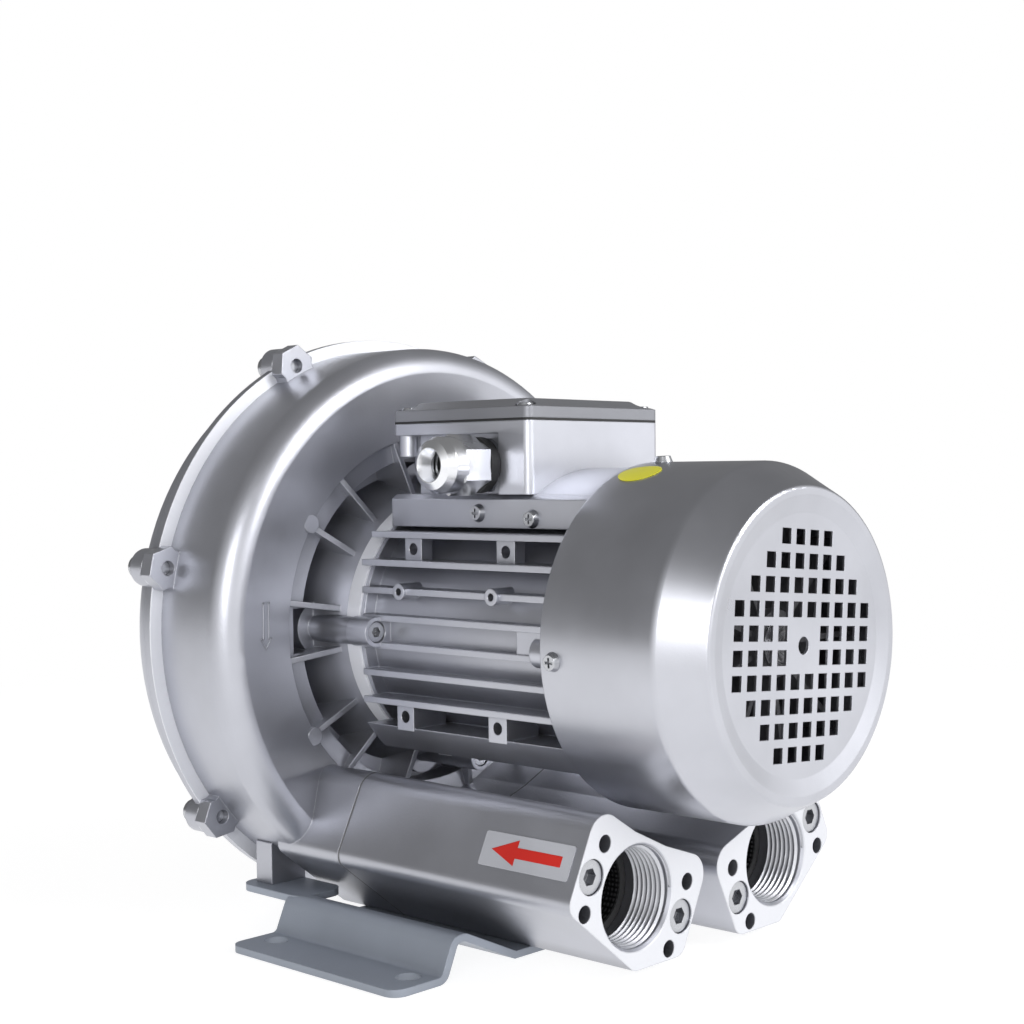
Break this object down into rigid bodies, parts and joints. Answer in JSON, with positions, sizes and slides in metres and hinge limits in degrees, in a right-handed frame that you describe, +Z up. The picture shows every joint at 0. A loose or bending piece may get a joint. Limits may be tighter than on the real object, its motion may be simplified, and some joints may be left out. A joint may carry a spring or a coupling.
{
  "type": "side channel blower",
  "caption": "Side channel blower: a ring-channel wheel in a round cast housing on a finned flange motor, with two threaded silencer ducts and a foot plate.",
  "frame": {"origin": "under the middle of the bounding box, on the floor plane of the foot plate", "axes": "+Z up, +Y along the shaft from the fan cover and the ports towards the wheel cover, X across"},
  "size_m": [0.2644, 0.2628, 0.255],
  "materials": {
    "cast_grey": "satin",
    "cover_casting": "satin",
    "cowl_paint": "satin",
    "silencer_casting": "satin",
    "lid_plastic": "satin",
    "screw_steel": "satin",
    "bearing_steel": "polished",
    "shaft_steel": "satin",
    "lamination_steel": "matt",
    "copper_winding": "satin",
    "wheel_aluminium": "satin",
    "fan_plastic": "matt",
    "seal_rubber": "matt",
    "liner_mesh": "satin",
    "foam": "matt",
    "board_plastic": "matt",
    "brass": "satin",
    "gland_plastic": "satin",
    "base_paint": "satin"
  },
  "bodies": {
    "blower": {"base_plate": "base_paint", "base_screws": "screw_steel", "blower_housing": "cast_grey", "board_screws": "screw_steel", "cover_bolts": "screw_steel", "drive_bearing_outer_ring": "bearing_steel", "end_shield_screws": "screw_steel", "fan_bearing_outer_ring": "bearing_steel", "fan_cover": "cowl_paint", "fan_cover_screws": "screw_steel", "fan_end_shield": "cast_grey", "frame_side_screws": "screw_steel", "gland_body": "gland_plastic", "gland_nut": "gland_plastic", "gland_seal": "seal_rubber", "gland_washer": "seal_rubber", "impeller_cover": "cover_casting", "lid_screws": "screw_steel", "motor_frame": "cast_grey", "motor_mount_screws": "screw_steel", "shaft_seal": "seal_rubber", "silencer_bolts": "screw_steel", "silencer_foam_left": "foam", "silencer_foam_right": "foam", "silencer_gasket_left": "seal_rubber", "silencer_gasket_right": "seal_rubber", "silencer_left": "silencer_casting", "silencer_liner_left": "liner_mesh", "silencer_liner_right": "liner_mesh", "silencer_right": "silencer_casting", "stator_core": "lamination_steel", "stator_windings": "copper_winding", "terminal_board": "board_plastic", "terminal_box": "cast_grey", "terminal_box_gasket": "seal_rubber", "terminal_box_lid": "lid_plastic", "terminal_links": "brass", "terminal_studs": "brass", "wave_spring": "screw_steel"},
    "rotor": {"shaft": "shaft_steel", "rotor_core": "lamination_steel", "impeller": "wheel_aluminium", "impeller_key": "screw_steel", "impeller_washer": "screw_steel", "impeller_bolt": "screw_steel", "cooling_fan": "fan_plastic", "fan_key": "screw_steel", "fan_retaining_ring": "screw_steel", "fan_bearing_inner_ring": "bearing_steel", "fan_bearing_balls": "bearing_steel", "drive_bearing_inner_ring": "bearing_steel", "drive_bearing_balls": "bearing_steel"}
  },
  "joints": [
    {"name": "rotor_spin", "type": "hinge", "parent": "blower", "child": "rotor", "pos_m": [0, 0, 0.127], "axis": [0, 1, 0], "continuous": true}
  ]
}
